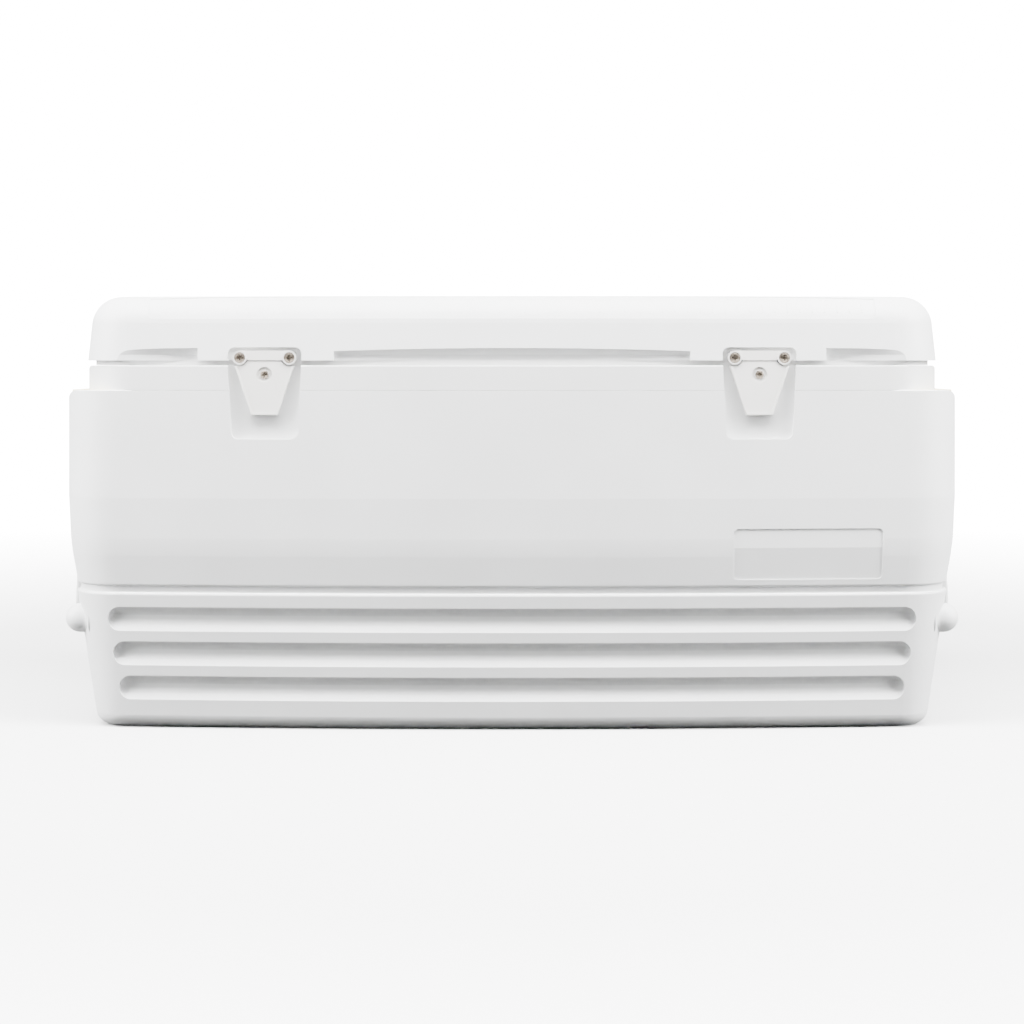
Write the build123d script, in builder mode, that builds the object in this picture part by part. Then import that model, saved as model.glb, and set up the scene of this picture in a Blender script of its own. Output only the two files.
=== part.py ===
"""A large white insulated chest cooler: tub, hinged lid, two swing-up end handles, latch and drain.

Millimetres, +Z up. The origin is on the floor under the middle of the tub.
+X runs along the chest, -Y is the rear (hinge) side and +Y the front (latch) side.
"""

import os
from math import radians, sqrt, tan

from build123d import *

# ---------------------------------------------------------------- driving dimensions
shell_length = 925.4  # over the end walls of the tub
shell_depth = 432.0  # over the bowed front and rear walls
end_shelf = 21.3  # how far the tub's shoulder stands out past the collar at each end
lid_top = 443.5
side_bow = 22.5  # how far the front and rear walls bow out over their length
end_bow = 3.0
corner_radius = 62.0

# Levels of the tub, collar and lid
band_top = 141.5  # lower band, under the groove
groove_top = 148.0
straight_level = 238.0  # above this the walls are upright
seam_level = 347.6  # tub shell to collar
collar_top = 372.5
lid_edge = 377.6  # lower edge of the lid's outer wall
lid_gap = 0.3  # lid lip above the collar

# Wall form
band_step = 8.5  # the lower band stands this far inside the shoulder
band_draft = 8.5
groove_depth = 4.0
waist_step = 9.3  # how far the upper wall curves in on its way down to the groove
waist_middle, waist_middle_step = 188.0, 2.4
waist_radius = 150.0
base_radius = 16.0
shoulder_radius = 18.0
lip_round = 2.5
skin = 3.5  # moulded wall thickness

seam_bevel = 0.8  # along the top edges of the shell and the collar

# Collar, liner and lid
collar_bevel_x, collar_bevel_z = 7.0, 5.0
rim_width = 34.0  # collar's outer face to the tub opening
tub_corner = 46.0
tub_draft = 2.0
tub_floor = 37.0
tub_floor_radius = 18.0
liner_skin = 3.0
lip_inset = 7.0
flange_width = 13.0
flange_thickness = 3.0
lid_draft = 6.0
lid_round = 31.0
lid_corner = 55.0
plug_depth = 12.0
plug_gap = 4.0
plug_draft = 1.0  # how far the plug's wall moves in over its depth

# Relief under the lid's rear and front edge
relief_depth = 8.0
relief_top = 383.5
relief_rise = 8.0  # height of its sloping ceiling
relief_half = 180.0
relief_end_start = 318.0
relief_end_stop = 415.0

# Ruler panel and label field
ruler_half = 370.0
ruler_low = 420.0
ruler_reach = 36.0
ruler_sink = 0.8
ruler_end_radius = 6.0
label_low_x, label_high_x = 224.0, 376.5
label_low_z, label_high_z = 155.5, 207.5
label_radius = 5.0
label_sink = 1.0

# Channels in the lower band: centre height and half length of each
channel_heights = (114.0, 78.3, 42.5)
channel_halves = (413.0, 408.5, 403.0)
channel_height = 25.0
channel_ceiling = 6.5  # height of the sloping ceiling
channel_bend = 9.0  # height of the floor's steep outer part
channel_bend_depth = 5.2
channel_depth = 7.0
channel_round = 5.0
channel_bend_radius = 16.0

# Base runner groove
runner_x = 130.0
runner_width = 18.0
runner_depth = 3.0

# Hinges
hinge_x = 250.0
hinge_level = 378.0
web_radius = 0.8
web_half = 16.8
part_gap = 0.3
pocket_depth = 6.5
pocket_top_width, pocket_low_width = 76.0, 67.0
pocket_top, pocket_low = 391.0, 298.0
pocket_radius = 7.0
eyelet_spacing = 50.0
eyelet_level = 380.4
eyelet_radius = 7.0
eyelet_proud = 0.8
eyelet_clearance = 1.6
eyelet_seat_sink = 0.7
screw_ring_gap = 0.3
strap_top = 387.5
plate_low = 322.0
plate_shoulder = 372.0
plate_top_half, plate_low_half = 30.0, 13.0
plate_border = 2.6
plate_field_sink = 0.7
plate_screw_level = 363.3
plate_boss_radius = 7.8
plate_boss_sink = 1.2
plate_foot_round = 1.5
plate_foot_bevel = 0.8

# Screws: head radius, head height, shank radius, shank length
lid_screw = (5.4, 2.4, 2.2, 15.0)
plate_screw = (4.2, 2.0, 2.0, 15.0)
bracket_screw = (3.6, 1.8, 1.6, 12.0)
screw_clearance = 0.05
hole_margin = 1.0  # a screw's hole is this much longer than its shank
dome_ratio = 1.6  # radius of the domed head over the head's radius
rim_ratio = 0.45  # straight rim of the head over its height
tip_ratio = 0.6  # bevel of the tip over the shank's radius
cross_floor, cross_length, cross_width = 0.3, 1.15, 0.28  # recess, over head height and radius

# Handles
recess_half = 132.0
recess_low, recess_high = 76.0, 288.0
recess_depth = 30.0
recess_radius = 12.0
scoop_high = 158.0
scoop_depth = 49.0
handle_pivot_level = 262.0
handle_pivot_inset = 18.0
grip_level = 110.0
grip_offset = 4.0  # grip centre outboard of the pivot
grip_radius = 12.5
eye_radius = 10.0
arm_outer = 114.0
arm_thickness = 12.0
arm_round = 3.0
trunnion_radius = 6.0
trunnion_length = 10.0
running_gap = 0.08
bracket_thickness = 12.0
bracket_wall = 5.0
bracket_foot = 4.0
bracket_foot_half = 23.0
bracket_screw_spread = 18.0

# Corner bosses of the end walls
boss_y = 150.0
boss_level = 111.0
boss_radius = 15.0
boss_length = 40.0
boss_flare = 6.0
boss_flare_start = 27.0

# Drain
drain_level = 54.0
drain_bore = 8.5
spout_radius = 11.0
drain_pad_radius = 18.0
drain_pad_inset = 24.0
liner_pad_radius = 17.0
liner_pad_reach = 9.0
drain_gasket_thickness = 1.5
drain_flange_radius = 17.0
drain_flange_thickness = 3.0
spout_reach = 13.0
cap_radius = 15.0
cap_wall = 3.0
cap_clearance = 0.3
cap_washer = 1.6
cap_lug = 3.0
cap_lugs = 12
cap_lug_inset = 2.0
cap_round = 1.5
cap_flange_gap = 1.0
seal_overlap = 1.0  # how far the seal reaches inside the spout's bore
nut_across = 28.0
nut_thickness = 6.0

# Latch
latch_pocket_half = 31.0
latch_pocket_depth = 14.0
latch_pocket_low, latch_pocket_high = 303.0, 395.0
latch_pin_level = 384.0
latch_pin_depth = 6.4  # behind the front wall
latch_pin_radius = 2.0
latch_knuckle = 4.0
latch_half = 14.5
latch_side_gap = 0.5
latch_thickness = 3.6
latch_low = 325.0
latch_ear = 3.0
latch_plate = 3.0
latch_plate_half = 27.0
latch_plate_height = 11.0
latch_plate_radius = 2.0
latch_screw_x = 22.5
keeper_radius = 43.0
keeper_ledge = 5.0
keeper_reach = 5.4
keeper_screw_rise = 8.0
keeper_low, keeper_high = 319.0, 347.0
hook_gap = 0.4
hook_thickness = 4.0
hook_play = 0.6  # latch face to keeper ledge
hook_lift = 1.0  # hook tip to keeper plate
latch_rest_angle = 9.0

# ---------------------------------------------------------------- worked out from them
half_x = shell_length / 2
half_y = shell_depth / 2
collar_half_x = half_x - end_shelf
front_bow_radius = ((half_x - end_bow) ** 2 + side_bow**2) / (2 * side_bow)
bow_centre = front_bow_radius - half_y
plenty = 2 * half_x  # longer than any cut needs to be


def wall_y(x, inset=0.0):
    """Distance of the bowed rear wall from the middle plane at a given x."""
    return sqrt((front_bow_radius - inset) ** 2 - x**2) - bow_centre


def band_inset(z):
    """How far the lower band's wall stands inside the shoulder at height z."""
    return band_step + (band_top - z) * tan(radians(band_draft))


hinge_face_y = -wall_y(hinge_x)
pocket_floor_y = hinge_face_y + pocket_depth
hinge_axis_y = hinge_face_y + web_radius


# ---------------------------------------------------------------- shared forms
def outline(level, outline_half_x=half_x, inset=0.0, corner=corner_radius):
    """Bowed rectangle with round corners at a level, moved in all round by inset."""
    reach_x, reach_y = outline_half_x - inset, half_y - inset
    corner_x = reach_x - end_bow
    corner_y = wall_y(corner_x, inset)
    with BuildSketch(Plane.XY.offset(level)) as sketch:
        with BuildLine():
            ThreePointArc((-corner_x, -corner_y), (0, -reach_y), (corner_x, -corner_y))
            ThreePointArc((corner_x, -corner_y), (reach_x, 0), (corner_x, corner_y))
            ThreePointArc((corner_x, corner_y), (0, reach_y), (-corner_x, corner_y))
            ThreePointArc((-corner_x, corner_y), (-reach_x, 0), (-corner_x, -corner_y))
        make_face()
        fillet(sketch.vertices(), corner - inset)
    return sketch.sketch


def drafted(start, stop, outline_half_x=half_x, corner=corner_radius):
    """Adds a drafted block between two levels, each given as (height, inset)."""
    sections = [outline(level, outline_half_x, inset, corner) for level, inset in (start, stop)]
    loft(sections, ruled=True)


def tub_form(inset=0.0, floor=0.0, thicken=0.0, detail=True):
    """The tub's outer form, or the same form moved in by inset from a raised floor.

    The lower band can be moved in further, by thicken.
    """
    with BuildPart() as form:
        side = inset + thicken
        drafted((band_top, band_inset(band_top) + side), (floor, band_inset(floor) + side))
        extrude(
            outline(band_top, inset=band_step + groove_depth + inset), amount=groove_top - band_top
        )
        middle = (waist_middle, waist_middle_step + inset)
        drafted((straight_level, inset), middle)
        drafted(middle, (groove_top, waist_step + inset))
        extrude(outline(straight_level, inset=inset), amount=seam_level - straight_level)
        if detail:
            chamfer(form.faces().sort_by(Axis.Z)[-1].edges(), seam_bevel)
            base = form.faces().sort_by(Axis.Z)[0]
            fillet(base.edges(), base_radius)
            waist = form.edges().filter_by_position(Axis.Z, waist_middle, waist_middle)
            fillet(waist, waist_radius)
            for level in (band_top, groove_top):
                ledge = form.faces().filter_by_position(Axis.Z, level, level).sort_by(SortBy.AREA)[-1]
                fillet(ledge.outer_wire().edges(), lip_round)
            with BuildSketch(Plane.XZ) as front_view:
                Rectangle(shell_length, seam_level, align=(Align.CENTER, Align.MIN))
                fillet(front_view.vertices().group_by(Axis.Y)[-1], shoulder_radius)
            extrude(amount=shell_depth, both=True, mode=Mode.INTERSECT)
    return form.part


def channel(height, half_length, side):
    """A long round-ended channel along the lower band: a short ceiling over a hollowed floor."""
    top, low = height + channel_height / 2, height - channel_height / 2
    deepest, bend = top - channel_ceiling, low + channel_bend
    with BuildPart() as core:
        loft(
            [
                outline(top, inset=band_inset(top)),
                outline(deepest, inset=band_inset(deepest) + channel_depth),
                outline(bend, inset=band_inset(bend) + channel_bend_depth),
                outline(low, inset=band_inset(low)),
            ],
            ruled=True,
        )
        hollow = core.edges().filter_by_position(Axis.Z, deepest, deepest)
        fillet(hollow, channel_round)
        fillet(core.edges().filter_by_position(Axis.Z, bend, bend), channel_bend_radius)
    with BuildPart() as cut:
        with BuildSketch(Plane.XZ.offset(-side * half_y / 2)):
            with Locations((0, height)):
                SlotOverall(2 * half_length, channel_height)
        extrude(amount=-side * half_y)
        add(core.part, mode=Mode.SUBTRACT)
    return cut.part


def channels():
    """All channels of the front and rear."""
    return [
        channel(height, half_length, side)
        for side in (-1, 1)
        for height, half_length in zip(channel_heights, channel_halves)
    ]


def hinge_pocket(x, extra=0.0):
    """The recess that a hinge lies in, through lid, collar and tub, grown by extra."""
    slope = (pocket_top_width - pocket_low_width) / 2 / (pocket_top - pocket_low)
    low, top = pocket_low - extra, pocket_top + extra
    low_half = pocket_low_width / 2 + extra
    top_half = low_half + slope * (top - low)
    floor = Plane(origin=(x, pocket_floor_y + extra, 0), x_dir=(1, 0, 0), z_dir=(0, -1, 0))
    with BuildPart() as cut:
        with BuildSketch(floor) as sketch:
            with BuildLine():
                Polyline(
                    (-low_half, low), (low_half, low), (top_half, top), (-top_half, top), close=True
                )
            make_face()
            fillet(sketch.vertices(), pocket_radius)
        extrude(amount=shell_depth)
    return cut.part


def hinge_pockets(extra=0.0):
    """Both hinge recesses."""
    return [hinge_pocket(side * hinge_x, extra) for side in (-1, 1)]


def latch_pocket(extra=0.0):
    """The recess for the latch in the front wall, grown by extra."""
    floor = Plane(
        origin=(0, half_y - latch_pocket_depth - extra, 0), x_dir=(-1, 0, 0), z_dir=(0, 1, 0)
    )
    height = latch_pocket_high - latch_pocket_low
    with BuildPart() as cut:
        with BuildSketch(floor):
            with Locations((0, (latch_pocket_high + latch_pocket_low) / 2)):
                RectangleRounded(
                    2 * (latch_pocket_half + extra), height + 2 * extra, pocket_radius + extra
                )
        extrude(amount=shell_depth)
    return cut.part


def handle_recess(side, extra=0.0):
    """The recess in an end wall that holds a handle, with a deeper scoop for the fingers."""
    with BuildPart() as cut:
        for depth, high in ((recess_depth, recess_high), (scoop_depth, scoop_high)):
            floor = Plane(
                origin=(side * (half_x - depth - extra), 0, 0), x_dir=(0, side, 0), z_dir=(side, 0, 0)
            )
            with BuildSketch(floor):
                with Locations((0, (recess_low + high) / 2)):
                    RectangleRounded(
                        2 * (recess_half + extra),
                        high - recess_low + 2 * extra,
                        recess_radius + extra,
                    )
            extrude(amount=shell_length / 2)
    return cut.part


def corner_boss(side, y):
    """A round boss on an end wall beside the handle, flared where it leaves the wall."""
    root = half_x - boss_length
    flare_x = half_x - boss_flare_start
    frame = Plane(
        origin=(side * root, y, boss_level), x_dir=(side, 0, 0), z_dir=(0, -side, 0)
    )
    with BuildPart() as boss:
        with BuildSketch(frame):
            with BuildLine():
                base = boss_radius + boss_flare
                neck = flare_x + boss_flare - root
                dome = boss_length - boss_radius
                Polyline((0, base), (0, 0), (boss_length, 0))
                RadiusArc((boss_length, 0), (dome, boss_radius), -boss_radius)
                Line((dome, boss_radius), (neck, boss_radius))
                RadiusArc((neck, boss_radius), (flare_x - root, base), boss_flare)
                Line((flare_x - root, base), (0, base))
            make_face()
        revolve(axis=Axis((0, y, boss_level), (1, 0, 0)))
    return boss.part


def lid_form(inset=0.0, low=lid_edge):
    """The lid's outer form, or the same form moved in by inset."""
    with BuildPart() as form:
        slope = tan(radians(lid_draft))
        low_inset = inset + (low - lid_edge) * slope
        top_inset = inset + (lid_top - inset - lid_edge) * slope
        drafted((low, low_inset), (lid_top - inset, top_inset), collar_half_x, lid_corner)
        top = form.faces().sort_by(Axis.Z)[-1]
        fillet(top.edges(), lid_round - inset)
    return form.part


def relief_section(level, depth, side, extra):
    """The three strips of lid_relief at one level, cut in to a depth behind the rim."""
    with BuildSketch(Plane.XY.offset(level)) as section:
        with Locations((0, side * (half_y - depth - extra + half_y / 2))):
            Rectangle(2 * (relief_half + extra), half_y)
        for end in (-1, 1):
            start_x, stop_x = relief_end_start - extra, relief_end_stop
            with BuildLine():
                Polyline(
                    (end * start_x, side * (wall_y(start_x) - depth - extra)),
                    (end * stop_x, side * (wall_y(stop_x) - extra)),
                    (end * stop_x, side * plenty),
                    (end * start_x, side * plenty),
                    close=True,
                )
            make_face()
    return section.sketch.faces().sort_by(Axis.X)


def lid_relief(extra=0.0):
    """Strips cut away under the lid's edge, so that its bowed wall clears the collar as it turns."""
    top = relief_top + extra
    with BuildPart() as cut:
        for side in (-1, 1):
            low_faces = relief_section(lid_edge - lid_gap, relief_depth, side, extra)
            middle_faces = relief_section(top, relief_depth, side, extra)
            top_faces = relief_section(top + relief_rise, 0, side, extra)
            for low, middle, high in zip(low_faces, middle_faces, top_faces):
                loft([low, middle, high], ruled=True)
    return cut.part


def tub_opening(grow=0.0, floor=tub_floor, corner_fillet=tub_floor_radius):
    """The space inside the tub, or the same form grown by the liner's skin."""
    with BuildPart() as space:
        top_inset = rim_width - grow
        low_inset = top_inset + (collar_top - floor) * tan(radians(tub_draft))
        drafted(
            (collar_top, top_inset), (floor, low_inset), collar_half_x, rim_width + tub_corner
        )
        fillet(space.faces().sort_by(Axis.Z)[0].edges(), corner_fillet)
    return space.part


def screw(head_radius, head_height, shank_radius, shank_length):
    """A dome-headed screw with a cross recess, head up, its shank pointing down from the origin."""
    dome = head_radius * dome_ratio
    with BuildPart() as body:
        Cylinder(shank_radius, shank_length, align=(Align.CENTER, Align.CENTER, Align.MAX))
        with BuildSketch(Plane.XZ):
            with BuildLine():
                edge = head_height * rim_ratio
                Polyline((0, head_height), (0, 0), (head_radius, 0), (head_radius, edge))
                RadiusArc((head_radius, edge), (0, head_height), -dome)
            make_face()
        revolve(axis=Axis.Z)
        tip = body.faces().sort_by(Axis.Z)[0]
        chamfer(tip.edges(), shank_radius * tip_ratio)
        with BuildSketch(Plane.XY.offset(head_height * cross_floor)):
            for turn in (0, 90):
                Rectangle(head_radius * cross_length, head_radius * cross_width, rotation=turn)
        extrude(amount=head_height, mode=Mode.SUBTRACT)
    return body.part


def screw_hole(place, size):
    """The clearance cut that a screw's shank needs from its seat inwards."""
    with BuildPart() as hole:
        Cylinder(
            size[2] + screw_clearance,
            size[3] + hole_margin,
            align=(Align.CENTER, Align.CENTER, Align.MAX),
        )
    return hole.part.moved(place)


def seat(x, y, z, direction):
    """The frame of a screw seat: its outward direction is the frame's own up."""
    return Plane(origin=(x, y, z), z_dir=direction).location


# ---------------------------------------------------------------- screw places
eyelet_seat_y = hinge_face_y + eyelet_seat_sink
plate_seat_y = hinge_face_y + plate_field_sink + plate_boss_sink
lid_screw_places = [
    seat(side * hinge_x + end * eyelet_spacing / 2, eyelet_seat_y, eyelet_level, (0, -1, 0))
    for side in (-1, 1)
    for end in (-1, 1)
]
plate_screw_places = [
    seat(side * hinge_x, plate_seat_y, plate_screw_level, (0, -1, 0)) for side in (-1, 1)
]

recess_floor_x = half_x - recess_depth
bracket_y = arm_outer + part_gap + bracket_thickness / 2


def bracket_screw_places(side):
    """Four screw seats, two on each of the two brackets of one handle."""
    return [
        seat(side * (recess_floor_x + bracket_foot), y * bracket_y, z, (side, 0, 0))
        for y in (-1, 1)
        for z in (
            handle_pivot_level - bracket_screw_spread,
            handle_pivot_level + bracket_screw_spread,
        )
    ]


latch_floor_y = half_y - latch_pocket_depth
latch_pin_y = half_y - latch_pin_depth
keeper_screw_level = keeper_low + keeper_screw_rise
latch_screw_places = [
    seat(side * latch_screw_x, latch_floor_y + latch_plate, latch_pin_level, (0, 1, 0))
    for side in (-1, 1)
]
keeper_screw_places = [
    seat(side * latch_screw_x, latch_floor_y + latch_plate, keeper_screw_level, (0, 1, 0))
    for side in (-1, 1)
]

drain_pad_x = half_x - drain_pad_inset
opening_x = collar_half_x - rim_width - (collar_top - drain_level) * tan(radians(tub_draft))
liner_pad_x = opening_x - liner_pad_reach


def x_cylinder(radius, start, stop, level=drain_level):
    """A cylinder along X at the drain's height."""
    with BuildPart() as rod:
        with BuildSketch(Plane.YZ.offset(start)):
            with Locations((0, level)):
                Circle(radius)
        extrude(amount=stop - start)
    return rod.part


drain_hole = x_cylinder(spout_radius + screw_clearance, liner_pad_x - nut_thickness, half_x)


# ---------------------------------------------------------------- tub
with BuildPart() as tub_cavity:
    add(tub_form(skin, skin, channel_depth, detail=False))
    for pocket in hinge_pockets(skin) + [latch_pocket(skin)]:
        add(pocket, mode=Mode.SUBTRACT)
    for end in (-1, 1):
        add(handle_recess(end, skin), mode=Mode.SUBTRACT)
    with BuildSketch(Plane.XY.offset(skin)):
        with Locations((runner_x, 0)):
            Rectangle(runner_width + 2 * skin, plenty)
    extrude(amount=runner_depth, mode=Mode.SUBTRACT)

with BuildPart() as label_cut:
    with BuildSketch(Plane.XZ.offset(half_y / 2)):
        with Locations(((label_low_x + label_high_x) / 2, (label_low_z + label_high_z) / 2)):
            RectangleRounded(label_high_x - label_low_x, label_high_z - label_low_z, label_radius)
    extrude(amount=shell_depth)
    add(tub_form(label_sink, detail=False), mode=Mode.SUBTRACT)

with BuildPart() as body_shell:
    add(tub_form())
    for end in (-1, 1):
        for y in (-boss_y, boss_y):
            add(corner_boss(end, y))
    add(x_cylinder(drain_pad_radius, half_x - 2 * drain_pad_inset, drain_pad_x))
    add(x_cylinder(drain_pad_radius, drain_pad_x, half_x), mode=Mode.SUBTRACT)
    for pocket in channels():
        add(pocket, mode=Mode.SUBTRACT)
    for pocket in hinge_pockets() + [latch_pocket(), label_cut.part]:
        add(pocket, mode=Mode.SUBTRACT)
    for end in (-1, 1):
        add(handle_recess(end), mode=Mode.SUBTRACT)
        for place in bracket_screw_places(end):
            add(screw_hole(place, bracket_screw), mode=Mode.SUBTRACT)
    for place in keeper_screw_places:
        add(screw_hole(place, bracket_screw), mode=Mode.SUBTRACT)
    add(tub_cavity.part, mode=Mode.SUBTRACT)
    add(drain_hole, mode=Mode.SUBTRACT)
    with BuildSketch(Plane.XY):
        with Locations((runner_x, 0)):
            Rectangle(runner_width, plenty)
    extrude(amount=runner_depth, mode=Mode.SUBTRACT)

# ---------------------------------------------------------------- liner with its collar
with BuildPart() as collar_hollow:
    extrude(outline(seam_level, collar_half_x, skin), amount=collar_top - skin - seam_level)
    for pocket in hinge_pockets(skin) + [latch_pocket(skin)]:
        add(pocket, mode=Mode.SUBTRACT)

with BuildPart() as liner_pad:
    add(x_cylinder(liner_pad_radius, liner_pad_x, opening_x + liner_skin))

with BuildPart() as tub_outer:
    add(tub_opening(liner_skin, tub_floor - liner_skin, tub_floor_radius + liner_skin))

with BuildPart() as body_liner:
    extrude(outline(seam_level, collar_half_x), amount=collar_top - seam_level)
    with BuildSketch(Plane.XZ) as collar_view:
        with Locations((0, seam_level)):
            Rectangle(2 * collar_half_x, collar_top - seam_level, align=(Align.CENTER, Align.MIN))
        chamfer(collar_view.vertices().group_by(Axis.Y)[-1], collar_bevel_z, collar_bevel_x)
    extrude(amount=shell_depth, both=True, mode=Mode.INTERSECT)
    chamfer(body_liner.faces().sort_by(Axis.Z)[-1].edges(), seam_bevel)
    for pocket in hinge_pockets() + [latch_pocket(), collar_hollow.part]:
        add(pocket, mode=Mode.SUBTRACT)
    add(tub_outer.part)
    add(tub_opening(), mode=Mode.SUBTRACT)
    add(liner_pad.part)
    add(drain_hole, mode=Mode.SUBTRACT)
    for place in plate_screw_places:
        add(screw_hole(place, plate_screw), mode=Mode.SUBTRACT)

with BuildPart() as body_foam:
    add(tub_cavity.part)
    add(collar_hollow.part)
    add(tub_outer.part, mode=Mode.SUBTRACT)
    add(liner_pad.part, mode=Mode.SUBTRACT)
    add(drain_hole, mode=Mode.SUBTRACT)
    for place in plate_screw_places:
        add(screw_hole(place, plate_screw), mode=Mode.SUBTRACT)
    for place in keeper_screw_places + bracket_screw_places(-1) + bracket_screw_places(1):
        add(screw_hole(place, bracket_screw), mode=Mode.SUBTRACT)

# ---------------------------------------------------------------- lid
flange_top = lid_edge + flange_thickness
with BuildPart() as lid_cavity:
    add(lid_form(skin, flange_top))
    for pocket in hinge_pockets(skin) + [latch_pocket(skin), lid_relief(skin)]:
        add(pocket, mode=Mode.SUBTRACT)
    extrude(outline(lid_edge, collar_half_x, flange_width + lip_inset), amount=flange_thickness)

with BuildPart() as ruler_field:
    with BuildSketch(Plane.XZ.offset(half_y - ruler_reach)) as ruler_view:
        with Locations((0, ruler_low)):
            Rectangle(2 * ruler_half, ruler_reach, align=(Align.CENTER, Align.MIN))
        fillet(ruler_view.vertices().group_by(Axis.Y)[0], ruler_end_radius)
    extrude(amount=shell_depth)
    add(lid_form(ruler_sink), mode=Mode.SUBTRACT)

with BuildPart() as lid_shell:
    add(lid_form())
    for pocket in hinge_pockets() + [latch_pocket(), lid_relief(), ruler_field.part]:
        add(pocket, mode=Mode.SUBTRACT)
    add(lid_cavity.part, mode=Mode.SUBTRACT)
    for place in lid_screw_places:
        add(screw_hole(place, lid_screw), mode=Mode.SUBTRACT)
    for place in latch_screw_places:
        add(screw_hole(place, bracket_screw), mode=Mode.SUBTRACT)

plug_low = collar_top - plug_depth
pan_inset = rim_width + plug_gap
with BuildPart() as lid_pan:
    drafted(
        (lid_edge, pan_inset + liner_skin),
        (plug_low + liner_skin, pan_inset + liner_skin + plug_draft),
        collar_half_x,
        rim_width + tub_corner,
    )

with BuildPart() as lid_liner:
    extrude(
        outline(collar_top + lid_gap, collar_half_x, lip_inset),
        amount=lid_edge - collar_top - lid_gap,
    )
    drafted(
        (lid_edge, pan_inset), (plug_low, pan_inset + plug_draft), collar_half_x, rim_width + tub_corner
    )
    add(lid_pan.part, mode=Mode.SUBTRACT)
    for pocket in hinge_pockets() + [latch_pocket()]:
        add(pocket, mode=Mode.SUBTRACT)

with BuildPart() as lid_foam:
    add(lid_cavity.part)
    add(lid_pan.part)
    for place in lid_screw_places:
        add(screw_hole(place, lid_screw), mode=Mode.SUBTRACT)
    for place in latch_screw_places:
        add(screw_hole(place, bracket_screw), mode=Mode.SUBTRACT)


# ---------------------------------------------------------------- hinges
def hinge_plate(x):
    """Lower leaf of a moulded hinge: a tapering plate screwed to the collar."""
    face = Plane(origin=(x, hinge_face_y, 0), x_dir=(1, 0, 0), z_dir=(0, -1, 0))
    slope = (plate_top_half - plate_low_half) / (plate_shoulder - plate_low)
    top = hinge_level - web_radius - part_gap
    top_half = plate_low_half + slope * (top - plate_low)
    eyes = [(end * eyelet_spacing / 2, eyelet_level) for end in (-1, 1)]
    with BuildPart() as plate:
        with BuildSketch(face) as sketch:
            with BuildLine():
                Polyline(
                    (-plate_low_half, plate_low),
                    (plate_low_half, plate_low),
                    (top_half, top),
                    (-top_half, top),
                    close=True,
                )
            make_face()
            fillet(sketch.vertices().group_by(Axis.Y)[0], plate_foot_round)
            with Locations(*eyes):
                Circle(eyelet_radius + eyelet_clearance, mode=Mode.SUBTRACT)
            for end in (-1, 1):
                with Locations((end * eyelet_spacing, plate_shoulder)):
                    Rectangle(
                        eyelet_spacing,
                        eyelet_spacing,
                        align=(Align.CENTER, Align.MIN),
                        mode=Mode.SUBTRACT,
                    )
        extrude(amount=-pocket_depth)
        chamfer(plate.faces().sort_by(Axis.Z)[0].edges().group_by(Axis.Y)[0], plate_foot_bevel)
        with BuildSketch(face):
            with BuildLine():
                low = plate_low + plate_border
                low_half = plate_low_half - plate_border / 2
                field_half = low_half + slope * (top - low)
                Polyline(
                    (-low_half, low),
                    (low_half, low),
                    (field_half, top),
                    (-field_half, top),
                    close=True,
                )
            make_face()
        extrude(amount=-plate_field_sink, mode=Mode.SUBTRACT)
        with BuildSketch(face):
            with Locations((0, plate_screw_level)):
                Circle(plate_boss_radius)
        extrude(amount=-plate_field_sink - plate_boss_sink, mode=Mode.SUBTRACT)
        with BuildSketch(face):
            with Locations((0, plate_screw_level)):
                Circle(plate_screw[2] + screw_clearance)
        extrude(amount=-pocket_depth, mode=Mode.SUBTRACT)
    return plate.part


def hinge_strap(x):
    """Upper leaf of a moulded hinge: a strap with two screwed eyelets and the rounded web edge."""
    face = Plane(origin=(x, hinge_face_y, 0), x_dir=(1, 0, 0), z_dir=(0, -1, 0))
    eyes = [(end * eyelet_spacing / 2, eyelet_level) for end in (-1, 1)]
    low = hinge_level + part_gap
    with BuildPart() as strap:
        with BuildSketch(face):
            with Locations((0, low)):
                Rectangle(eyelet_spacing, strap_top - low, align=(Align.CENTER, Align.MIN))
        extrude(amount=-pocket_depth)
        with BuildSketch(Plane.YZ.offset(x - web_half)):
            with Locations((hinge_axis_y, hinge_level)):
                Circle(web_radius)
        extrude(amount=2 * web_half)
        with BuildSketch(face.offset(eyelet_proud)):
            with Locations(*eyes):
                Circle(eyelet_radius)
        extrude(amount=-pocket_depth - eyelet_proud)
        with BuildSketch(face.offset(eyelet_proud)):
            with Locations(*eyes):
                Circle(lid_screw[0] + screw_ring_gap)
        extrude(amount=hinge_face_y - eyelet_seat_y - eyelet_proud, mode=Mode.SUBTRACT)
        with BuildSketch(face):
            with Locations(*eyes):
                Circle(lid_screw[2] + screw_clearance)
        extrude(amount=-pocket_depth, mode=Mode.SUBTRACT)
    return strap.part


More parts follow.
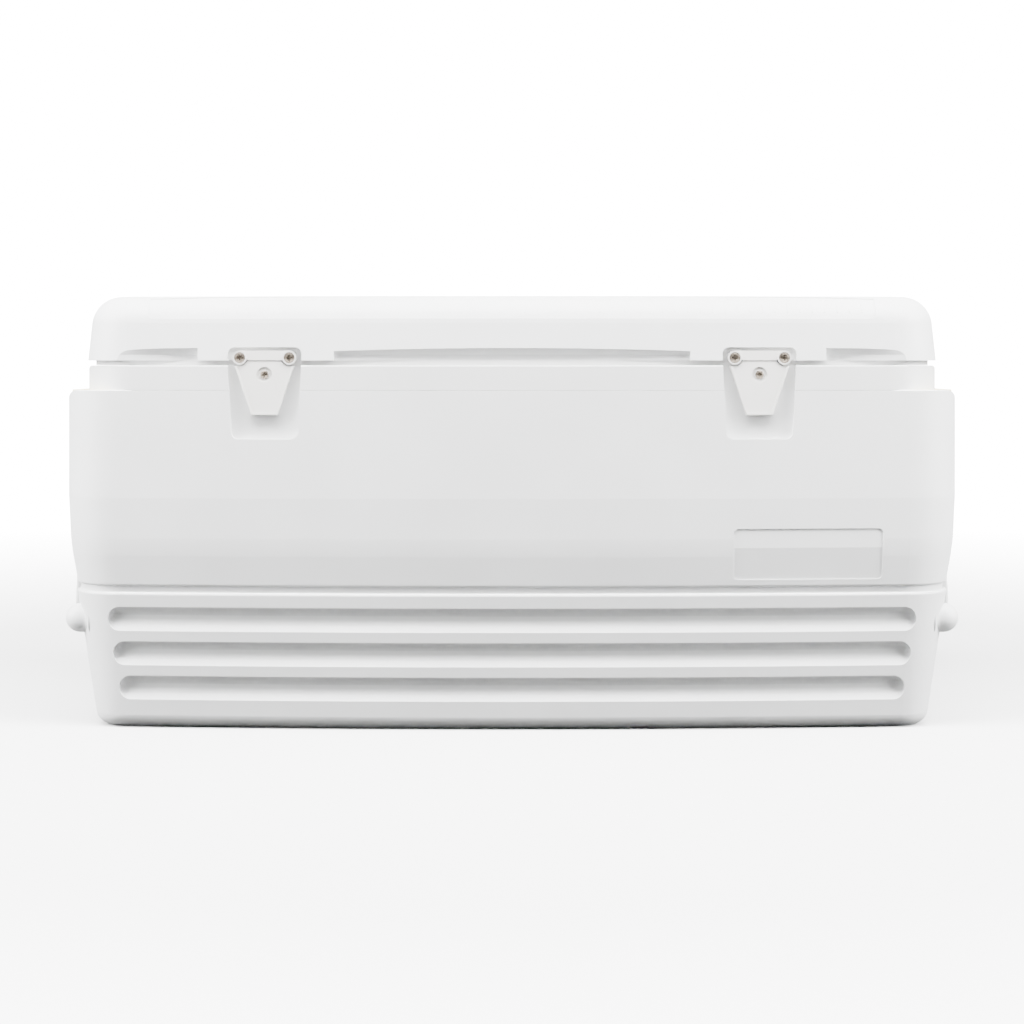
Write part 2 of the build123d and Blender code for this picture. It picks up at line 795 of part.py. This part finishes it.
# ---------------------------------------------------------------- handles
def handle(side):
    """A U-shaped swing-up handle, hanging: two arms, a round grip and two trunnions."""
    pivot_x = side * (half_x - handle_pivot_inset)
    grip_x = pivot_x + side * grip_offset
    with BuildPart() as bail:
        for end in (-1, 1):
            with BuildSketch(Plane.XZ.offset(-end * arm_outer)):
                with Locations((pivot_x, handle_pivot_level)):
                    Circle(eye_radius)
                with Locations((grip_x, grip_level)):
                    Circle(grip_radius)
                make_hull()
            extrude(amount=end * arm_thickness)
        arm_faces = bail.faces().filter_by(Axis.Y)
        fillet(arm_faces.edges(), arm_round)
        with BuildSketch(Plane.XZ.offset(-arm_outer + arm_thickness / 2)):
            with Locations((grip_x, grip_level)):
                Circle(grip_radius)
        extrude(amount=2 * arm_outer - arm_thickness)
        for end in (-1, 1):
            with BuildSketch(Plane.XZ.offset(-end * (arm_outer - arm_thickness / 2))):
                with Locations((pivot_x, handle_pivot_level)):
                    Circle(trunnion_radius)
            extrude(amount=-end * (trunnion_length + arm_thickness / 2))
    return bail.part


def handle_brackets(side):
    """Two brackets that carry a handle's trunnions, screwed to the floor of the recess."""
    pivot_x = side * (half_x - handle_pivot_inset)
    floor_x = side * recess_floor_x
    foot_x = floor_x + side * bracket_foot / 2
    with BuildPart() as brackets:
        for end in (-1, 1):
            with BuildSketch(Plane.XZ.offset(-end * (arm_outer + part_gap))):
                with Locations((pivot_x, handle_pivot_level)):
                    Circle(trunnion_radius + bracket_wall)
                with Locations(((pivot_x + floor_x) / 2, handle_pivot_level)):
                    Rectangle(abs(pivot_x - floor_x), 2 * (trunnion_radius + bracket_wall))
                with Locations((foot_x, handle_pivot_level)):
                    Rectangle(bracket_foot, 2 * bracket_foot_half)
                with Locations((pivot_x, handle_pivot_level)):
                    Circle(trunnion_radius + running_gap, mode=Mode.SUBTRACT)
            extrude(amount=-end * bracket_thickness)
        for place in bracket_screw_places(side):
            add(screw_hole(place, bracket_screw), mode=Mode.SUBTRACT)
    return brackets.part


# ---------------------------------------------------------------- drain
gasket_x = drain_pad_x + drain_gasket_thickness
flange_x = gasket_x + drain_flange_thickness
spout_end = flange_x + spout_reach

with BuildPart() as drain_gasket:
    add(x_cylinder(drain_flange_radius, drain_pad_x, gasket_x))
    add(x_cylinder(spout_radius + screw_clearance, drain_pad_x, gasket_x), mode=Mode.SUBTRACT)

with BuildPart() as drain_spout:
    add(x_cylinder(spout_radius, liner_pad_x - nut_thickness, spout_end))
    add(x_cylinder(drain_flange_radius, gasket_x, flange_x))
    add(x_cylinder(drain_bore, liner_pad_x - nut_thickness, spout_end), mode=Mode.SUBTRACT)

with BuildPart() as drain_nut:
    with BuildSketch(Plane.YZ.offset(liner_pad_x - nut_thickness)):
        with Locations((0, drain_level)):
            RegularPolygon(nut_across / 2, 6, major_radius=False)
            Circle(spout_radius + screw_clearance, mode=Mode.SUBTRACT)
    extrude(amount=nut_thickness)

cap_start = flange_x + cap_flange_gap
cap_inner = spout_end + cap_washer + 2 * cap_clearance
with BuildPart() as drain_cap:
    add(x_cylinder(cap_radius, cap_start, cap_inner + cap_wall))
    fillet(drain_cap.faces().sort_by(Axis.X)[-1].edges(), cap_round)
    add(x_cylinder(spout_radius + cap_clearance, cap_start, cap_inner), mode=Mode.SUBTRACT)
    with BuildSketch(Plane.YZ.offset(cap_start + cap_lug_inset)):
        with Locations((0, drain_level)):
            with PolarLocations(cap_radius, cap_lugs):
                Circle(cap_lug / 2)
    extrude(amount=cap_inner + cap_wall - cap_start - 2 * cap_lug_inset)

with BuildPart() as cap_seal:
    add(x_cylinder(spout_radius, spout_end + cap_clearance, spout_end + cap_clearance + cap_washer))
    add(x_cylinder(drain_bore - seal_overlap, spout_end, cap_inner), mode=Mode.SUBTRACT)


# ---------------------------------------------------------------- latch
def x_bar(y, z, radius, half_length):
    """A round bar along X at a given place in the YZ plane."""
    with BuildPart() as bar:
        with BuildSketch(Plane.YZ.offset(-half_length)):
            with Locations((y, z)):
                Circle(radius)
        extrude(amount=2 * half_length)
    return bar.part


ear_half = latch_half + latch_side_gap
with BuildPart() as latch_bracket:
    with BuildSketch(Plane.XZ.offset(-latch_floor_y)):
        with Locations((0, latch_pin_level)):
            RectangleRounded(2 * latch_plate_half, latch_plate_height, latch_plate_radius)
    extrude(amount=-latch_plate)
    for side in (-1, 1):
        start = side * ear_half if side > 0 else side * (ear_half + latch_ear)
        with BuildSketch(Plane.YZ.offset(start)):
            with Locations((latch_pin_y, latch_pin_level)):
                Circle(latch_knuckle)
            with Locations(((latch_floor_y + latch_pin_y) / 2, latch_pin_level)):
                Rectangle(latch_pin_y - latch_floor_y, 2 * latch_knuckle)
        extrude(amount=latch_ear)
    add(x_bar(latch_pin_y, latch_pin_level, latch_pin_radius, plenty), mode=Mode.SUBTRACT)
    for place in latch_screw_places:
        add(screw_hole(place, bracket_screw), mode=Mode.SUBTRACT)

with BuildPart() as latch_pin:
    add(x_bar(latch_pin_y, latch_pin_level, latch_pin_radius, ear_half + latch_ear))

with BuildPart() as latch_keeper:
    with BuildSketch(Plane.XZ.offset(-latch_floor_y)):
        with Locations((0, (keeper_low + keeper_high) / 2)):
            RectangleRounded(2 * latch_plate_half, keeper_high - keeper_low, latch_plate_radius)
    extrude(amount=-latch_plate)
    with BuildSketch(Plane.YZ.offset(-latch_half)):
        with Locations((latch_pin_y, latch_pin_level)):
            Circle(keeper_radius)
            Circle(keeper_radius - keeper_ledge, mode=Mode.SUBTRACT)
        with Locations((latch_floor_y, latch_pin_level)):
            Rectangle(
                latch_plate + keeper_reach,
                keeper_radius,
                align=(Align.MIN, Align.MAX),
                mode=Mode.INTERSECT,
            )
    extrude(amount=2 * latch_half)
    for place in keeper_screw_places:
        add(screw_hole(place, bracket_screw), mode=Mode.SUBTRACT)

latch_face_y = latch_floor_y + latch_plate + keeper_reach + hook_play
with BuildPart() as closed_latch:
    with BuildSketch(Plane.YZ.offset(-latch_half)):
        with Locations((latch_face_y, latch_pin_level)):
            Rectangle(latch_thickness, latch_pin_level - latch_low, align=(Align.MIN, Align.MAX))
        with Locations((latch_pin_y, latch_pin_level)):
            Circle(latch_knuckle)
    extrude(amount=2 * latch_half)
    with BuildSketch(Plane.YZ.offset(-latch_half)):
        with Locations((latch_pin_y, latch_pin_level)):
            Circle(keeper_radius + hook_gap + hook_thickness)
            Circle(keeper_radius + hook_gap, mode=Mode.SUBTRACT)
        with Locations((latch_floor_y + latch_plate + hook_lift, latch_pin_level)):
            Rectangle(
                latch_face_y - latch_floor_y - latch_plate - hook_lift + latch_thickness,
                2 * keeper_radius,
                align=(Align.MIN, Align.MAX),
                mode=Mode.INTERSECT,
            )
    extrude(amount=2 * latch_half)
    add(
        x_bar(latch_pin_y, latch_pin_level, latch_pin_radius + running_gap, plenty), mode=Mode.SUBTRACT
    )

latch_axis = Axis((0, latch_pin_y, latch_pin_level), (1, 0, 0))
latch = closed_latch.part.rotate(latch_axis, latch_rest_angle)


def screws(size, places):
    """One screw at each place, as one group."""
    one = screw(*size)
    return Compound(children=[one.moved(place) for place in places])


# ---------------------------------------------------------------- output
pieces = {
    "body_shell": body_shell.part,
    "body_liner": body_liner.part,
    "body_foam": body_foam.part,
    "hinge_plate_left": hinge_plate(-hinge_x),
    "hinge_plate_right": hinge_plate(hinge_x),
    "hinge_plate_screws": screws(plate_screw, plate_screw_places),
    "hinge_strap_left": hinge_strap(-hinge_x),
    "hinge_strap_right": hinge_strap(hinge_x),
    "hinge_strap_screws": screws(lid_screw, lid_screw_places),
    "lid_shell": lid_shell.part,
    "lid_liner": lid_liner.part,
    "lid_foam": lid_foam.part,
    "handle_left": handle(-1),
    "handle_right": handle(1),
    "handle_brackets_left": handle_brackets(-1),
    "handle_brackets_right": handle_brackets(1),
    "handle_screws_left": screws(bracket_screw, bracket_screw_places(-1)),
    "handle_screws_right": screws(bracket_screw, bracket_screw_places(1)),
    "drain_spout": drain_spout.part,
    "drain_gasket": drain_gasket.part,
    "drain_nut": drain_nut.part,
    "drain_cap": drain_cap.part,
    "cap_seal": cap_seal.part,
    "latch_bracket": latch_bracket.part,
    "latch_pin": latch_pin.part,
    "latch": latch,
    "latch_keeper": latch_keeper.part,
    "latch_bracket_screws": screws(bracket_screw, latch_screw_places),
    "latch_keeper_screws": screws(bracket_screw, keeper_screw_places),
}

os.makedirs("parts", exist_ok=True)
for name, piece in pieces.items():
    piece.label = name
    export_step(piece, f"parts/{name}.step")
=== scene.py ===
"""Looks for the chest cooler: materials, the moulded ruler marks, floor, light and camera.

Metres, in the part's own frame: +Z up, the hinge side faces -Y.
"""

import math

import bpy
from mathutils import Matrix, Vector


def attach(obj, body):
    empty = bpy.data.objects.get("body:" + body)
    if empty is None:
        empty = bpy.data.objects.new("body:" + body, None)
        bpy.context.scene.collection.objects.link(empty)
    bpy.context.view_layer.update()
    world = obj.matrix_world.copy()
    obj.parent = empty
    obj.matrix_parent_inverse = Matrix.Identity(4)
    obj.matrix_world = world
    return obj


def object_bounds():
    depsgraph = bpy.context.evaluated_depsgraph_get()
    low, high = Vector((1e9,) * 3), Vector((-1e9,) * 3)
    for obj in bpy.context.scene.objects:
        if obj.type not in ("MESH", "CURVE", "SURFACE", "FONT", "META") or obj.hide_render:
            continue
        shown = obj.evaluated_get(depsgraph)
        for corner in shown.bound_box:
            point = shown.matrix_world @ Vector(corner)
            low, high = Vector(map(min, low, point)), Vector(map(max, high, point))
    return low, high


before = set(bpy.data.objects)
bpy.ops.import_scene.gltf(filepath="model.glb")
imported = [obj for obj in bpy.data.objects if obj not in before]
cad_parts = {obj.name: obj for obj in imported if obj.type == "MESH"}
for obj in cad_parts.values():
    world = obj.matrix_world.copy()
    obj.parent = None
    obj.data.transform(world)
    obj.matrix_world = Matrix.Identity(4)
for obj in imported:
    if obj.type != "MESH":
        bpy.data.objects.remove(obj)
cad_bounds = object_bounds()

INCH = 0.0254
MM = 0.001

# Camera
EYE_HEIGHT = 0.375
EYE_DISTANCE = 2.100  # from the middle of the rear wall
LENS = 73.37
SENSOR = 36.0
SHIFT_UP = -0.1455

# Surround: strength of its light from above and below, and of the backdrop that is seen
LIGHT_ABOVE = 0.40
LIGHT_BELOW = 0.0
FADE_START = -0.15  # height on the unit sphere where the light begins
FADE_STOP = 0.8
BACKDROP = 20.0

# The floor is solid near the chest and gone at this distance from its middle
FLOOR_SOLID = 0.9
FLOOR_GONE = 3.0

# Soft boxes: place, target, width, height, watts
SOFT_BOXES = {
    "overhead": ((0, -0.9, 2.2), (0, -0.25, 0.2), 3.2, 0.8, 360),
    "front_box": ((0, -3.6, 1.5), (0, 0, 0.25), 3.0, 1.5, 8),
    "rear_box": ((0, 3.4, 2.0), (0, 0, 0.25), 3.0, 1.5, 95),
    "left_box": ((-2.3, -0.7, 1.1), (-0.4, 0, 0.25), 1.0, 1.4, 220),
    "right_box": ((2.3, -0.7, 1.1), (0.4, 0, 0.25), 1.0, 1.4, 220),
}

# Ruler marks on the lid's rear top edge
RULER_HALF_INCHES = 14
RULER_TOP = 0.4350
LONG_MARK_LOW = 0.4262
SHORT_MARK_TOP = 0.4302
EDGE_MARK_TOP = 0.4422
EDGE_MARK_LOW = 0.4392
EDGE_MARK_STEP = 20 * MM
EDGE_MARK_HALF_COUNT = 17
MARK_WIDTH = 0.9 * MM
MARK_HEIGHT = 0.35 * MM
MARK_STEPS = 5
RAY_START = -1  # y, well outside the lid


# ---------------------------------------------------------------- materials
def new_material(name):
    """An empty node material with a Principled shader."""
    material = bpy.data.materials.new(name)
    material.use_nodes = True
    tree = material.node_tree
    tree.nodes.clear()
    output = tree.nodes.new("ShaderNodeOutputMaterial")
    shader = tree.nodes.new("ShaderNodeBsdfPrincipled")
    tree.links.new(shader.outputs["BSDF"], output.inputs["Surface"])
    return material, tree, shader


def noise(tree, scale, detail, roughness=0.5):
    """A noise texture in the object's own coordinates."""
    place = tree.nodes.new("ShaderNodeTexCoord")
    texture = tree.nodes.new("ShaderNodeTexNoise")
    texture.inputs["Scale"].default_value = scale
    texture.inputs["Detail"].default_value = detail
    texture.inputs["Roughness"].default_value = roughness
    tree.links.new(place.outputs["Object"], texture.inputs["Vector"])
    return texture.outputs["Fac"]


def ramp(tree, value, stops):
    """A colour ramp over a value: stops are (position, colour)."""
    node = tree.nodes.new("ShaderNodeValToRGB")
    elements = node.color_ramp.elements
    while len(elements) < len(stops):
        elements.new(0.5)
    for element, (position, colour) in zip(elements, stops):
        element.position = position
        element.color = (*colour, 1)
    tree.links.new(value, node.inputs["Fac"])
    return node.outputs["Color"]


def between(tree, value, low, high, start=0.0, stop=1.0):
    """A value remapped from start..stop to low..high."""
    node = tree.nodes.new("ShaderNodeMapRange")
    node.inputs["From Min"].default_value = start
    node.inputs["From Max"].default_value = stop
    node.inputs["To Min"].default_value = low
    node.inputs["To Max"].default_value = high
    tree.links.new(value, node.inputs["Value"])
    return node.outputs["Result"]


def bump(tree, shader, layers):
    """Bump layers, coarse to fine: each is (value, strength, depth in metres)."""
    normal = None
    for value, strength, depth in layers:
        node = tree.nodes.new("ShaderNodeBump")
        node.inputs["Strength"].default_value = strength
        node.inputs["Distance"].default_value = depth
        tree.links.new(value, node.inputs["Height"])
        if normal:
            tree.links.new(normal, node.inputs["Normal"])
        normal = node.outputs["Normal"]
    tree.links.new(normal, shader.inputs["Normal"])


def moulded_plastic(name, light, dark, roughness, grain=1100, grain_depth=0.10 * MM):
    """Blow- or injection-moulded polyethylene: faint mottling, fine grain and uneven gloss."""
    material, tree, shader = new_material(name)
    mottle = noise(tree, 9, 3)
    tree.links.new(ramp(tree, mottle, [(0.35, dark), (0.65, light)]), shader.inputs["Base Color"])
    gloss = noise(tree, 60, 4, 0.6)
    tree.links.new(
        between(tree, gloss, roughness - 0.07, roughness + 0.07, 0.35, 0.65),
        shader.inputs["Roughness"],
    )
    waves = noise(tree, 14, 2)
    pebble = noise(tree, grain, 2)
    bump(tree, shader, [(waves, 0.25, 1.0 * MM), (pebble, 0.45, grain_depth)])
    shader.inputs["Subsurface Weight"].default_value = 0.06
    shader.inputs["Subsurface Radius"].default_value = (0.004, 0.004, 0.0035)
    shader.inputs["Specular IOR Level"].default_value = 0.45
    return material


def screw_steel(name):
    """Dark coated steel with fine turned scratches and paler worn spots."""
    material, tree, shader = new_material(name)
    wear = noise(tree, 700, 3)
    tree.links.new(
        ramp(tree, wear, [(0.4, (0.10, 0.085, 0.07)), (0.7, (0.30, 0.26, 0.21))]),
        shader.inputs["Base Color"],
    )
    scratch = noise(tree, 2600, 2)
    tree.links.new(between(tree, scratch, 0.25, 0.45, 0.3, 0.7), shader.inputs["Roughness"])
    bump(tree, shader, [(scratch, 0.3, 0.02 * MM)])
    shader.inputs["Metallic"].default_value = 1.0
    return material


def seal_rubber(name):
    """Black moulded rubber with a dusty bloom."""
    material, tree, shader = new_material(name)
    bloom = noise(tree, 150, 4)
    tree.links.new(
        ramp(tree, bloom, [(0.3, (0.012, 0.012, 0.013)), (0.75, (0.045, 0.044, 0.042))]),
        shader.inputs["Base Color"],
    )
    tree.links.new(between(tree, bloom, 0.55, 0.8), shader.inputs["Roughness"])
    bump(tree, shader, [(noise(tree, 1800, 2), 0.3, 0.05 * MM)])
    return material


def cell_foam(name):
    """Rigid insulating foam: cream, with small closed cells."""
    material, tree, shader = new_material(name)
    tint = noise(tree, 25, 4)
    tree.links.new(
        ramp(tree, tint, [(0.3, (0.80, 0.68, 0.40)), (0.7, (0.90, 0.81, 0.56))]),
        shader.inputs["Base Color"],
    )
    place = tree.nodes.new("ShaderNodeTexCoord")
    cells = tree.nodes.new("ShaderNodeTexVoronoi")
    cells.inputs["Scale"].default_value = 900
    tree.links.new(place.outputs["Object"], cells.inputs["Vector"])
    tree.links.new(between(tree, tint, 0.75, 0.95), shader.inputs["Roughness"])
    bump(tree, shader, [(cells.outputs["Distance"], 0.7, 0.3 * MM)])
    return material


shell_white = moulded_plastic("shell_white", (0.86, 0.865, 0.865), (0.82, 0.825, 0.825), 0.50)
liner_white = moulded_plastic("liner_white", (0.87, 0.87, 0.865), (0.83, 0.835, 0.83), 0.38, 1600)
hinge_white = moulded_plastic(
    "hinge_white", (0.90, 0.885, 0.86), (0.87, 0.855, 0.825), 0.34, 1900, 0.04 * MM
)
handle_white = moulded_plastic("handle_white", (0.83, 0.83, 0.82), (0.78, 0.785, 0.78), 0.42, 1500)
dark_steel = screw_steel("dark_steel")
rubber = seal_rubber("rubber")
foam = cell_foam("foam")

FINISHES = {
    shell_white: ["body_shell", "lid_shell"],
    liner_white: ["body_liner", "lid_liner"],
    hinge_white: [
        "hinge_plate_left",
        "hinge_plate_right",
        "hinge_strap_left",
        "hinge_strap_right",
        "drain_spout",
        "drain_nut",
        "drain_cap",
        "latch",
        "latch_bracket",
        "latch_keeper",
    ],
    handle_white: [
        "handle_left",
        "handle_right",
        "handle_brackets_left",
        "handle_brackets_right",
    ],
    dark_steel: [
        "hinge_plate_screws",
        "hinge_strap_screws",
        "handle_screws_left",
        "handle_screws_right",
        "latch_pin",
        "latch_bracket_screws",
        "latch_keeper_screws",
    ],
    rubber: ["drain_gasket", "cap_seal"],
    foam: ["body_foam", "lid_foam"],
}
for material, nodes in FINISHES.items():
    for node in nodes:
        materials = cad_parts[node].data.materials
        materials.clear()
        materials.append(material)


# ---------------------------------------------------------------- ruler marks
def on_lid(x, z):
    """The point and outward direction of the lid's rear surface at x and z."""
    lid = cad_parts["lid_shell"]
    _, point, normal, _ = lid.ray_cast(Vector((x, RAY_START, z)), Vector((0, 1, 0)))
    return point, normal


def mark(x, low, top):
    """Corners and faces of one raised mark that follows the lid's round edge."""
    points = []
    for step in range(MARK_STEPS + 1):
        point, normal = on_lid(x, low + (top - low) * step / MARK_STEPS)
        for side in (-1, 1):
            for lift in (-MARK_HEIGHT, MARK_HEIGHT):
                points.append(point + Vector((side * MARK_WIDTH / 2, 0, 0)) + normal * lift)
    faces = [(0, 2, 3, 1)]
    for step in range(MARK_STEPS):
        a, b = 4 * step, 4 * step + 4
        for p, q in ((0, 1), (1, 3), (3, 2), (2, 0)):
            faces.append((a + p, a + q, b + q, b + p))
    last = 4 * MARK_STEPS
    faces.append((last, last + 1, last + 3, last + 2))
    return points, faces


def ruler_marks():
    """Inch and half-inch marks over a row of 2 cm marks, as one raised piece."""
    lines = []
    for half_inch in range(-2 * RULER_HALF_INCHES, 2 * RULER_HALF_INCHES + 1):
        whole = half_inch % 2 == 0
        lines.append((half_inch * INCH / 2, LONG_MARK_LOW, RULER_TOP if whole else SHORT_MARK_TOP))
    for count in range(-EDGE_MARK_HALF_COUNT, EDGE_MARK_HALF_COUNT + 1):
        lines.append((count * EDGE_MARK_STEP, EDGE_MARK_LOW, EDGE_MARK_TOP))
    points, faces = [], []
    for line in lines:
        mark_points, mark_faces = mark(*line)
        faces += [tuple(len(points) + corner for corner in face) for face in mark_faces]
        points += mark_points
    mesh = bpy.data.meshes.new("ruler_marks")
    mesh.from_pydata(points, [], faces)
    mesh.validate()
    marks = bpy.data.objects.new("ruler_marks", mesh)
    bpy.context.scene.collection.objects.link(marks)
    marks.data.materials.append(shell_white)
    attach(marks, "lid")


ruler_marks()


# ---------------------------------------------------------------- floor, light and camera
def floor():
    """A pale matt studio floor that dissolves into the backdrop away from the chest."""
    material, tree, shader = new_material("studio_floor")
    cloud = noise(tree, 1.5, 3)
    tree.links.new(
        ramp(tree, cloud, [(0.3, (0.93, 0.93, 0.93)), (0.7, (0.95, 0.95, 0.95))]),
        shader.inputs["Base Color"],
    )
    shader.inputs["Roughness"].default_value = 0.8
    place = tree.nodes.new("ShaderNodeTexCoord")
    reach = tree.nodes.new("ShaderNodeVectorMath")
    reach.operation = "LENGTH"
    tree.links.new(place.outputs["Object"], reach.inputs[0])
    clear = tree.nodes.new("ShaderNodeBsdfTransparent")
    mix = tree.nodes.new("ShaderNodeMixShader")
    fade = between(tree, reach.outputs["Value"], 0, 1, FLOOR_SOLID, FLOOR_GONE)
    tree.links.new(fade, mix.inputs["Fac"])
    tree.links.new(shader.outputs["BSDF"], mix.inputs[1])
    tree.links.new(clear.outputs["BSDF"], mix.inputs[2])
    output = next(node for node in tree.nodes if node.type == "OUTPUT_MATERIAL")
    tree.links.new(mix.outputs["Shader"], output.inputs["Surface"])
    mesh = bpy.data.meshes.new("studio_floor")
    edge = FLOOR_GONE
    corners = [(-edge, -edge, 0), (edge, -edge, 0), (edge, edge, 0), (-edge, edge, 0)]
    mesh.from_pydata(corners, [], [(0, 1, 2, 3)])
    ground = bpy.data.objects.new("studio_floor", mesh)
    bpy.context.scene.collection.objects.link(ground)
    ground.data.materials.append(material)
    ground.visible_diffuse = False


def area_light(name, place, target, width, height, power):
    """A soft box aimed at a point."""
    data = bpy.data.lights.new(name, "AREA")
    data.shape = "RECTANGLE"
    data.size, data.size_y = width, height
    data.energy = power
    lamp = bpy.data.objects.new(name, data)
    lamp.location = place
    lamp.rotation_euler = (Vector(target) - Vector(place)).to_track_quat("-Z", "Y").to_euler()
    bpy.context.scene.collection.objects.link(lamp)


def surroundings():
    """A white backdrop to look at, with soft light from above that is gone just below the horizon."""
    world = bpy.data.worlds.new("studio")
    world.use_nodes = True
    tree = world.node_tree
    light = tree.nodes["Background"]
    light.inputs["Color"].default_value = (1, 1, 1, 1)
    place = tree.nodes.new("ShaderNodeTexCoord")
    split = tree.nodes.new("ShaderNodeSeparateXYZ")
    tree.links.new(place.outputs["Generated"], split.inputs["Vector"])
    fade = between(tree, split.outputs["Z"], LIGHT_BELOW, LIGHT_ABOVE, FADE_START, FADE_STOP)
    tree.links.new(fade, light.inputs["Strength"])
    backdrop = tree.nodes.new("ShaderNodeBackground")
    backdrop.inputs["Color"].default_value = (1, 1, 1, 1)
    backdrop.inputs["Strength"].default_value = BACKDROP
    path = tree.nodes.new("ShaderNodeLightPath")
    seen = tree.nodes.new("ShaderNodeMixShader")
    tree.links.new(path.outputs["Is Camera Ray"], seen.inputs["Fac"])
    tree.links.new(light.outputs["Background"], seen.inputs[1])
    tree.links.new(backdrop.outputs["Background"], seen.inputs[2])
    tree.links.new(seen.outputs["Shader"], tree.nodes["World Output"].inputs["Surface"])
    bpy.context.scene.world = world


def camera():
    """The photographed view: level, square to the rear wall, framed by a vertical shift."""
    data = bpy.data.cameras.new("camera")
    data.lens = LENS
    data.sensor_width = SENSOR
    data.shift_y = SHIFT_UP
    eye = bpy.data.objects.new("camera", data)
    eye.location = (0, cad_bounds[0][1] - EYE_DISTANCE, EYE_HEIGHT)
    eye.rotation_euler = (math.radians(90), 0, 0)
    bpy.context.scene.collection.objects.link(eye)
    bpy.context.scene.camera = eye


floor()
surroundings()
for name, setting in SOFT_BOXES.items():
    area_light(name, *setting)
camera()
